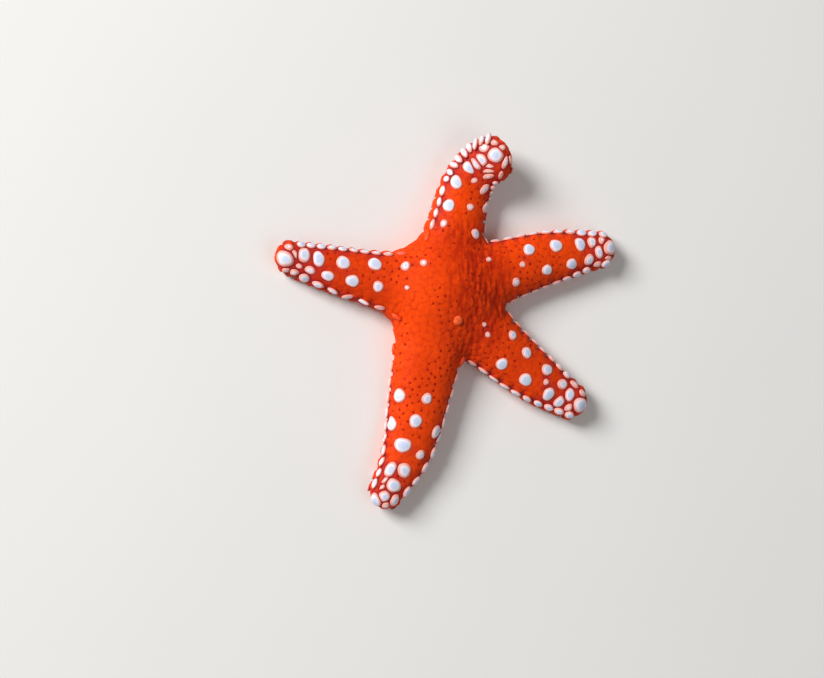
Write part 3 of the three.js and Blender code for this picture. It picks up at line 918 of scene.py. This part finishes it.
def skin_attributes(points, normals, form, plates, rows):
    """Numbers on the skin: its seams and where three meet, crowding, belly, the rough side's wrinkles, and
    the deeper red, mostly painted shade on the rough side.
    """
    middles = search_tree(points, scatter(points, form.tile_size / MM * TILE_PACKING, 5))
    reach = np.array([[found[2] for found in middles.find_n(p, 3)] for p in points])
    valley = 1 - smooth((reach[:, 1] - reach[:, 0]) / SEAM_WIDTH)
    junction = np.exp(-(((reach[:, 2] - reach[:, 0]) / MEETING_WIDTH) ** 2))
    near, second = edge_distances(points, search_tree(points, range(len(points))), plates, rows)
    # the ring round each pale plate is sunk into the skin and also carries painted shade in the skin's
    # material
    ring = smooth(1 - near / RING_WIDTH)
    # skin is crowded where a second pale plate is near
    crowd = smooth(1.3 - second / 1.1)
    # the belly faces down and lies low
    x, y, z = points.T
    belly = smooth((-normals[:, 2] - 0.1) / 0.5) * smooth((4 - z) / 2)
    # gills may stand on the back only, and not beside a pale plate
    junction = junction * (near > 0.3) * (normals[:, 2] > 0.05) * (z > 1)
    # the rough side is the disc's side towards arms 4 and 5, whose flank also gets painted shade
    rough = smooth((x + 4) / 9) * smooth((16 - np.hypot(x, y)) / 6)
    wrinkle = rough * patchiness(points * WRINKLE_SCALES, 1)
    # painted shade deepens the red over the rough side, most between its wrinkles; the red is also deeper far
    # out on arm 2's side
    deep = np.clip(0.5 * rough - 0.9 * wrinkle, 0, 0.9) + 0.32 * smooth((-8 - x) / 5)
    facts = {"valley": valley, "junction": junction, "ring": ring, "crowd": crowd, "belly": belly}
    return {**facts, "rough": rough, "wrinkle": wrinkle, "deep": deep}


class SEASTAR_OT_skin(bpy.types.Operator):
    """Grow one closed skin over the disc, the arms and their tips"""

    bl_idname = "seastar.skin"
    bl_label = "Skin"

    def execute(self, context):
        form = context.scene.sea_star_form
        pitch = form.skin_pitch / MM
        values, low = body_grid(pitch)
        points, quads = surface_net(values, low, pitch)
        points, normals = settle(points, 3)
        plates, margins = lay_plates(form.plate_gap / MM, PLATE_SIDES)
        facts = skin_attributes(points, normals, form, plates, margins.values())
        seams = facts["valley"] * (1 - facts["ring"]) + 0.35 * facts["junction"]
        # seams are faint on the level back, clearer in patches, on steep sides and on the rough side
        steep = smooth((0.93 - normals[:, 2]) / 0.3)
        patch = smooth((patchiness(points, 6) + 0.2) / 0.5)
        seams *= 0.12 + 0.3 * patch + 0.8 * steep + 0.35 * facts["rough"]
        sunk = form.tile_relief / MM * seams + RING_DEPTH * facts["ring"] - WRINKLE_DEPTH * facts["wrinkle"]
        points = points - normals * sunk[:, None]
        points[:, 2] = np.maximum(points[:, 2], 0)
        skin = mesh_object("skin", to_frame(points), quads, facts)
        nodes = [name + str(k) for name in ("arm_", "arm_tip_") for k in range(1, 6)]
        finish_piece(skin, skin_material(context.scene.sea_star_colours), "skin", "central_disc", *nodes)
        return {"FINISHED"}


PLATE_SIDES = 26
# share of a plate's outline, height as a share of its rise, and how close that is to the rim
PLATE_PROFILE = (
    (0.28, 0.97, 0.28), (0.52, 0.88, 0.52), (0.73, 0.68, 0.73), (0.88, 0.4, 0.88), (0.97, 0.08, 0.97),
)
# share of the outline, height in millimetres and rim value of the rings sunk into the skin; depth of the foot
SUNK_RINGS = ((1.02, -0.1, 1.1), (0.9, -0.4, 1.2))
FOOT_DEPTH = 0.5


class SEASTAR_OT_back_plates(bpy.types.Operator):
    """Set the large pale plates into the backs of the arms, the end plates among them"""

    bl_idname = "seastar.back_plates"
    bl_label = "Back Plates"

    def execute(self, context):
        form = context.scene.sea_star_form
        plates, _ = lay_plates(form.plate_gap / MM, PLATE_SIDES)
        count = len(plates.places)
        around = np.tile(np.linspace(0, 2 * math.pi, PLATE_SIDES, endpoint=False), count)[:, None]
        at, up, along = (np.repeat(rows, PLATE_SIDES, 0) for rows in plates[:3])
        ways = np.cos(around) * along + np.sin(around) * np.cross(up, along)
        reach = plates.outlines.reshape(-1, 1)
        rise = (2 * np.sqrt(plates.radii.prod(1)) * form.plate_rise)[:, None]
        rises = np.repeat(rise, PLATE_SIDES, 0)
        rows = [(share, height * rises, rim) for share, height, rim in PLATE_PROFILE]
        rows += SUNK_RINGS
        rings = []
        last = 0
        for share, height, _ in rows:
            ways = unit(ways - up * dots(ways, up)[:, None])
            at = at + ways * reach * (share - last)
            at = exits(at - up, up, 2)
            up = -unit(slope(at, 0.15)).reshape(count, PLATE_SIDES, 3)
            up = sum(np.roll(up, shift, 1) for shift in (-2, -1, 0, 1, 2)).reshape(-1, 3)
            up = unit(up + 0.25 * np.repeat(plates.normals, PLATE_SIDES, 0))
            rings.append((at + up * height).reshape(count, PLATE_SIDES, 3))
            last = share
        crowns = (plates.places + plates.normals * rise)[:, None]
        feet = (plates.places - plates.normals * FOOT_DEPTH)[:, None]
        points = np.concatenate([crowns, *rings, feet], 1)
        size = points.shape[1]
        faces = [face for i in range(count) for face in stacked_faces(i * size, len(rows), PLATE_SIDES)]
        rim = np.tile([0, *np.repeat([row[2] for row in rows], PLATE_SIDES), 1.2], count)
        blush = np.repeat(plates.blush, size)
        piece = mesh_object("back_plates", to_frame(np.vstack(points)), faces, {"rim": rim, "blush": blush})
        finish_piece(piece, plate_material(context.scene.sea_star_colours), "tip_plates")
        return {"FINISHED"}


# Profiles from a piece's top to its foot: radius, height, and how far it has its rim's or tip's colour
DOME = (
    (0, 1, 0.1), (0.45, 0.88, 0.4), (0.78, 0.55, 0.7), (0.98, -0.1, 0.98), (0.9, -0.9, 1.1), (0, -0.9, 1.2),
)
GILL = ((0, 0.2, 0), (0.5, 0.18, 0.1), (0.85, 0.06, 0.7), (1, -0.15, 1), (0, -0.5, 1))
SPINE = ((0, 1, 1), (0.6, 0.93, 1), (1, 0.72, 0.8), (1.05, 0.35, 0.3), (0.9, 0, 0), (0, -0.1, 0))
FOOT = (
    (0, 0.93, 1), (0.7, 0.96, 1), (1, 0.88, 0.9), (0.62, 0.72, 0.4), (0.6, 0.3, 0.1), (0.8, 0, 0), (0, 0, 0),
)
FEELER = ((0, 1, 1), (0.6, 0.96, 1), (0.95, 0.82, 0.8), (0.9, 0.45, 0.3), (1, 0, 0), (0, -0.1, 0))
JAW = ((0, 1, 0.6), (0.55, 0.84, 0.5), (0.9, 0.4, 0.3), (1, 0, 0), (0.85, -0.5, 0), (0, -0.9, 0))
THORN = ((0, 1, 1), (0.5, 0.93, 1), (0.85, 0.6, 0.7), (1, 0.2, 0.3), (0.8, 0, 0), (0, -0.05, 0))
LIPS = (
    (0, 1.82, 0), (1.6, 1.75, 0), (2.45, 1.4, 0), (2.2, 1.2, 0), (1.5, 1.05, 0),
    (0.8, 1.02, 0.2), (0.5, 1.08, 0.5), (0.36, 1.3, 0.9), (0.25, 1.62, 1), (0, 1.7, 1),
)


class SEASTAR_OT_margin_plates(bpy.types.Operator):
    """Line both edges of every arm with an upper and a lower row of plates"""

    bl_idname = "seastar.margin_plates"
    bl_label = "Margin Plates"

    def execute(self, context):
        material = bpy.data.materials.get("pale_plates") or plate_material(context.scene.sea_star_colours)
        _, margins = lay_plates(context.scene.sea_star_form.plate_gap / MM, PLATE_SIDES)
        for name, row in margins.items():
            dome = turned_piece("margin_dome", DOME, 14, "rim", 1.8)
            set_pieces(name, dome, row, material, "tip_plates", 0.06, MARGIN_TURN, 3)
        return {"FINISHED"}


# least value of the skin's junction attribute at a gill, the width of the gills' groups, and the value of the
# noise at which a group ends
GILL_MEETING = 0.4
GILL_GROUP = 4.5
GILL_GROUP_EDGE = -0.05


class SEASTAR_OT_gills(bpy.types.Operator):
    """Set the dark red skin gills, in loose groups, where the small plates meet"""

    bl_idname = "seastar.gills"
    bl_label = "Skin Gills"

    def execute(self, context):
        form = context.scene.sea_star_form
        colours = context.scene.sea_star_colours
        mesh = bpy.data.objects["skin"].data
        points, normals, meeting = (np.empty(size * len(mesh.vertices)) for size in (3, 3, 1))
        mesh.vertices.foreach_get("co", points)
        mesh.vertices.foreach_get("normal", normals)
        mesh.attributes["junction"].data.foreach_get("value", meeting)
        points = points.reshape(-1, 3)[meeting > GILL_MEETING] / MM - DISC_CENTRE
        normals = normals.reshape(-1, 3)[meeting > GILL_MEETING]
        kept = scatter(points, form.gill_spacing / MM, 8)
        kept = kept[patchiness(points[kept], GILL_GROUP) > GILL_GROUP_EDGE]
        points, normals = points[kept], normals[kept]
        rng = np.random.default_rng(8)
        wide = form.gill_width / MM / 2 * rng.uniform(0.65, 1.15, len(kept))
        size = np.stack([wide * rng.uniform(1, 1.3, len(kept)), wide, wide * 0.8], 1)
        along = unit(np.cross(normals, rng.normal(size=(len(kept), 3))))
        rows = (points + normals * 0.03, normals, along, size)
        material = flesh_material("dark_red_gills", colours.gill, colours.skin_deep, 0.3, 0.6, 0.08)
        set_pieces("skin_gills", turned_piece("gill", GILL, 10), rows, material, "skin", 0.1, 1.5, 8)
        return {"FINISHED"}


# where the rows in a furrow start, outside the mouth, and the share of the arm at which they end
FURROW_ROW_START = 3.2
FURROW_ROW_END = 0.9


def furrow_rows(spacing, aside, above, inward, down, size):
    """Rows of pieces beside the middle line of every furrow, on both sides, that shrink with its width."""
    parts = []
    for axis in AXES:
        s = np.arange(FURROW_ROW_START, axis.arm.length * FURROW_ROW_END, spacing)
        at = axis.at(s)
        narrow = furrow_share(axis, s)[:, None]
        for side in (1, -1):
            places = at.p - at.b * at.h[:, None] + (at.n * side * aside + at.b * above) * narrow
            facing = unit(-at.n * side * inward - at.b * down)
            parts.append((places, facing, at.t, np.array(size) * narrow))
    return joined(parts)


class SEASTAR_OT_furrow_spines(bpy.types.Operator):
    """Set blunt spines along both walls of every furrow"""

    bl_idname = "seastar.furrow_spines"
    bl_label = "Furrow Spines"

    def execute(self, context):
        spacing = context.scene.sea_star_form.spine_spacing / MM
        rows = furrow_rows(spacing, FURROW_RADIUS * 1.02, 0.42, 0.95, 0.2, (0.17, 0.17, 0.78))
        material = flesh_material("peach_spines", (0.88, 0.42, 0.2), (0.95, 0.7, 0.5), 0.5)
        set_pieces("furrow_spines", turned_piece("spine", SPINE, 8), rows, material, "mouth", 0.12, 0.4, 4)
        return {"FINISHED"}


class SEASTAR_OT_tube_feet(bpy.types.Operator):
    """Hang two rows of tube feet in every furrow"""

    bl_idname = "seastar.tube_feet"
    bl_label = "Tube Feet"

    def execute(self, context):
        spacing = context.scene.sea_star_form.foot_spacing / MM
        rows = furrow_rows(spacing, 0.42, 1.25, -0.1, 1, (0.3, 0.3, 1.12))
        colour = context.scene.sea_star_colours.foot
        material = flesh_material("orange_tube_feet", colour, (0.95, 0.5, 0.2), 0.4, 0.35)
        set_pieces("tube_feet", turned_piece("foot", FOOT, 9), rows, material, "mouth", 0.1, 0.5, 6)
        return {"FINISHED"}


# feelers on each arm, their half width, how far down they point in degrees, in turn, how far to either side
# the outermost stand, and how far their tips stay from the floor
FEELERS = 11
FEELER_HALF_WIDTH = 0.15
FEELER_DROPS = (34, 50)
FEELER_SPREAD = 32
FEELER_FLOOR_ROOM = 0.3


class SEASTAR_OT_feelers(bpy.types.Operator):
    """Grow a tuft of feelers round the lower edge of every arm's end"""

    bl_idname = "seastar.feelers"
    bl_label = "Feelers"

    def execute(self, context):
        rng = np.random.default_rng(31)
        parts = []
        for axis in AXES:
            at = axis.at(np.full(FEELERS, axis.arm.length - axis.end))
            down = np.radians(np.resize(FEELER_DROPS, FEELERS) + rng.uniform(-3, 3, FEELERS))[:, None]
            spread = np.linspace(-FEELER_SPREAD, FEELER_SPREAD, FEELERS)
            aside = np.radians(spread + rng.uniform(-2, 2, FEELERS))[:, None]
            level = at.t * np.cos(aside) + at.n * np.sin(aside)
            places, normals = surface_from(at.p, level * np.cos(down) - at.b * np.sin(down))
            long = rng.uniform(0.45, 0.65, FEELERS)
            wide = np.full(FEELERS, FEELER_HALF_WIDTH)
            size = np.stack([wide, wide, long], 1)
            facing = unit(normals + at.t * 0.5 + rng.normal(0, 0.08, (FEELERS, 3)))
            clear = places[:, 2] + 1.1 * long * facing[:, 2] > FEELER_FLOOR_ROOM
            parts.append([rows[clear] for rows in (places - normals * 0.12, facing, at.n, size)])
        material = flesh_material("red_feelers", (0.82, 0.1, 0.012), (0.95, 0.3, 0.1), 0.4, 0.35)
        feeler = turned_piece("feeler", FEELER, 8)
        set_pieces("feelers", feeler, joined(parts), material, "mouth", 0.1, 0.5, 9)
        return {"FINISHED"}


SIEVE_SIDES = 132
# grooves round the sieve plate's rim, their depth, and the height of its straight edge
SIEVE_GROOVES = 22
GROOVE_DEPTH = 0.09
SIEVE_EDGE = 0.3


class SEASTAR_OT_sieve_plate(bpy.types.Operator):
    """Shape the sieve plate, a low round button furrowed from its middle to its edge"""

    bl_idname = "seastar.sieve_plate"
    bl_label = "Sieve Plate"

    def execute(self, context):
        low, high = np.array(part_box("sieve_plate")) / MM
        middle = (low + high) / 2
        radius = (high - low)[:2].mean() / 2
        around, ways = circle(SIEVE_SIDES)
        blocks = [np.array([[0, 0, high[2]]])]
        groove = [np.zeros(1)]
        shares = np.linspace(0.08, 1, 14)
        for share in shares:
            bend = 0.5 * np.sin(3 * around + 4 * share) + 0.35 * np.sin(7 * around + 9 * share)
            inner = 0.5 - 0.5 * np.cos(SIEVE_GROOVES / 2 * around + bend)
            outer = 0.5 - 0.5 * np.cos(SIEVE_GROOVES * around + 2 * bend)
            mix = smooth((share - 0.4) / 0.2)
            fade = smooth(share / 0.25) * smooth((1.02 - share) / 0.1)
            depth = (inner * (1 - mix) + outer * mix) ** 2 * fade
            height = (high[2] - low[2] - SIEVE_EDGE) * (1 - share**2.6) ** 0.5 + low[2] + SIEVE_EDGE
            height = height - GROOVE_DEPTH * depth
            blocks.append(ways * radius * share + np.stack([0 * depth, 0 * depth, height], 1))
            groove.append(depth)
        blocks += [ways * radius + (0, 0, low[2]), np.array([[0, 0, low[2]]])]
        groove += [np.ones(SIEVE_SIDES), np.ones(1)]
        points = (np.vstack(blocks) + middle * (1, 1, 0)) * MM
        faces = stacked_faces(0, len(shares) + 1, SIEVE_SIDES)
        piece = mesh_object("sieve_button", points, faces, {"groove": np.concatenate(groove)})
        colours = context.scene.sea_star_colours
        material, tree, shader, coords = new_material("orange_sieve_plate")
        cloud = noise(tree, coords, 0.4, 2)
        colour = blend(tree, stretch(tree, cloud, 0.35, 0.65), colours.sieve, (0.92, 0.14, 0.018))
        # painted shade: the grooves, the button's straight edge and its foot darken towards the deep red
        grooves = stretch(tree, attribute(tree, "groove"), 0.3, 0.9, 0.0, 0.6)
        colour = blend(tree, grooves, colour, colours.skin_deep)
        connect(tree, shader, colour, stretch(tree, cloud, 0.3, 0.7, 0.4, 0.55), cloud, 0.02)
        soften(shader, 0.1, 0.3)
        finish_piece(piece, material, "sieve", "sieve_plate")
        return {"FINISHED"}


# half sizes of the jaws' halves and of their spines; each spine's distance out and aside from the middle
JAW_SIZE = (0.85, 0.34, 0.42)
JAW_SPINE_SIZE = (0.12, 0.12, 0.6)
JAW_SPINES = ((0.95, 0.13), (1.05, 0.38), (1.35, 0.62), (1.75, 0.72))


class SEASTAR_OT_mouth(bpy.types.Operator):
    """Close the mouth with its skin and set five jaws round it, each with its spines"""

    bl_idname = "seastar.mouth"
    bl_label = "Mouth"

    def execute(self, context):
        skin = turned_piece("mouth_skin", LIPS, 30)
        skin.data.transform(Matrix.Translation(Vector(DISC_CENTRE * MM)) @ Matrix.Scale(MM, 4))
        # the mouth skin darkens to nearly black towards its middle, painted shade up the mouth's narrow
        # hollow
        material = flesh_material("mouth_skin", (0.72, 0.2, 0.07), (0.05, 0.004, 0.003), 0.5)
        finish_piece(skin, material, "mouth", "mouth_ring")
        headings = np.radians(sorted(arm.heading for arm in ARMS))
        headings = (headings + np.append(headings[1:], headings[0] + 2 * math.pi)) / 2
        jaws, spines = [], []
        for heading in headings:
            out = np.array([math.cos(heading), math.sin(heading), 0])
            side = np.array([-out[1], out[0], 0])
            for turn in (-1, 1):
                place = out * 1.7 + side * turn * 0.33 + (0, 0, 0.85)
                jaws.append((place, (0, 0, -1), out + side * turn * 0.18, JAW_SIZE))
                for out_by, side_by in JAW_SPINES:
                    place = out * out_by + side * turn * side_by + (0, 0, 0.75)
                    facing = -out * 0.9 + side * turn * 0.25 * out_by - (0, 0, 0.55)
                    spines.append((place, facing, side, JAW_SPINE_SIZE))
        bony = flesh_material("peach_jaws", (0.9, 0.5, 0.28), (0.95, 0.72, 0.52), 0.5, 0.5)
        kinds = (("jaws", jaws, JAW, 12), ("jaw_spines", spines, THORN, 8))
        for name, rows, profile, sides in kinds:
            places, facing, along, size = (np.array(column, float) for column in zip(*rows))
            shape = turned_piece(name + "_shape", profile, sides)
            set_pieces(name, shape, (places, unit(facing), unit(along), size), bony, "mouth", 0.06, 0.08, 2)
        return {"FINISHED"}


# half the floor's width, in metres
FLOOR_REACH = 1.5
# each light's place and width in metres
LIGHTS = {"key": ((-0.68, 0.38, 0.5), 0.36), "fill": ((0.3, -0.3, 0.6), 0.5)}
# The camera, in millimetres and degrees; width is what it takes in at the height it aims at
CAMERA_LEAN = 18
CAMERA_DISTANCE = 300
CAMERA_WIDTH = 147.1
CAMERA_AIM_HEIGHT = 4
CAMERA_RIGHT = -5.3
CAMERA_UP = -8.4
SENSOR_WIDTH = 36


class SEASTAR_OT_stage(bpy.types.Operator):
    """Lay the floor, hang the soft lights and place the camera"""

    bl_idname = "seastar.stage"
    bl_label = "Stage"

    def execute(self, context):
        scene = context.scene
        stage = scene.sea_star_stage
        corners = [(x * FLOOR_REACH, y * FLOOR_REACH, 0) for x, y in ((-1, -1), (1, -1), (1, 1), (-1, 1))]
        floor = mesh_object("floor", corners, [(0, 1, 2, 3)])
        material, tree, shader, coords = new_material("pale_floor")
        cloud = noise(tree, coords, 40, 3)
        shade = tuple(0.97 * c for c in stage.floor)
        colour = blend(tree, cloud, stage.floor, shade)
        tree.links.new(colour, shader.inputs["Base Color"])
        shader.inputs["Roughness"].default_value = 0.85
        floor.data.materials.append(material)
        world = scene.world or bpy.data.worlds.new("studio")
        scene.world = world
        world.use_nodes = True
        background = world.node_tree.nodes["Background"]
        background.inputs["Color"].default_value = (1.0, 1.0, 1.0, 1.0)
        background.inputs["Strength"].default_value = stage.sky
        for name, (place, size) in LIGHTS.items():
            light = bpy.data.lights.new(name, "AREA")
            light.energy = getattr(stage, name + "_power")
            light.size = size
            lamp = bpy.data.objects.new(name, light)
            lamp.location = place
            lamp.rotation_euler = Vector(place).to_track_quat("Z", "Y").to_euler()
            scene.collection.objects.link(lamp)
        self.place_camera(scene)
        scene.view_settings.view_transform = "Standard"
        return {"FINISHED"}

    def place_camera(self, scene):
        """Look down on the disc, leaning a little towards arm 2's side."""
        lean = math.radians(CAMERA_LEAN)
        right = Vector((math.cos(lean), 0, math.sin(lean)))
        up = Vector((0, 1, 0))
        back = right.cross(up)
        aim = Vector(DISC_CENTRE) + Vector((0, 0, CAMERA_AIM_HEIGHT))
        place = aim + back * CAMERA_DISTANCE + right * CAMERA_RIGHT + up * CAMERA_UP
        lens = bpy.data.cameras.new("camera")
        lens.sensor_width = SENSOR_WIDTH
        lens.lens = SENSOR_WIDTH * CAMERA_DISTANCE / CAMERA_WIDTH
        lens.clip_start = 0.01
        camera = bpy.data.objects.new("camera", lens)
        camera.matrix_world = Matrix((right, up, back)).transposed().to_4x4()
        camera.location = place * MM
        scene.collection.objects.link(camera)
        scene.camera = camera


STEPS = (
    SEASTAR_OT_stage, SEASTAR_OT_skin, SEASTAR_OT_back_plates, SEASTAR_OT_margin_plates, SEASTAR_OT_gills,
    SEASTAR_OT_furrow_spines, SEASTAR_OT_tube_feet, SEASTAR_OT_feelers, SEASTAR_OT_sieve_plate,
    SEASTAR_OT_mouth,
)
GROUPS = {"sea_star_form": SeaStarForm, "sea_star_colours": SeaStarColours, "sea_star_stage": SeaStarStage}


class SEASTAR_PT_panel(bpy.types.Panel):
    """Settings and steps of the sea star"""

    bl_idname = "SEASTAR_PT_panel"
    bl_label = "Sea Star"
    bl_space_type = "VIEW_3D"
    bl_region_type = "UI"
    bl_category = "Sea Star"

    def draw(self, context):
        for name, group in GROUPS.items():
            box = self.layout.box()
            for key in group.__annotations__:
                box.prop(getattr(context.scene, name), key)
        for step in STEPS:
            self.layout.operator(step.bl_idname)


def register():
    for item in (*GROUPS.values(), *STEPS, SEASTAR_PT_panel):
        bpy.utils.register_class(item)
    for name, group in GROUPS.items():
        setattr(bpy.types.Scene, name, bpy.props.PointerProperty(type=group))


def unregister():
    for name in GROUPS:
        delattr(bpy.types.Scene, name)
    for item in reversed((*GROUPS.values(), *STEPS, SEASTAR_PT_panel)):
        bpy.utils.unregister_class(item)


def main():
    register()
    for step in STEPS:
        group, name = step.bl_idname.split(".")
        getattr(getattr(bpy.ops, group), name)()


if __name__ == "__main__":
    main()
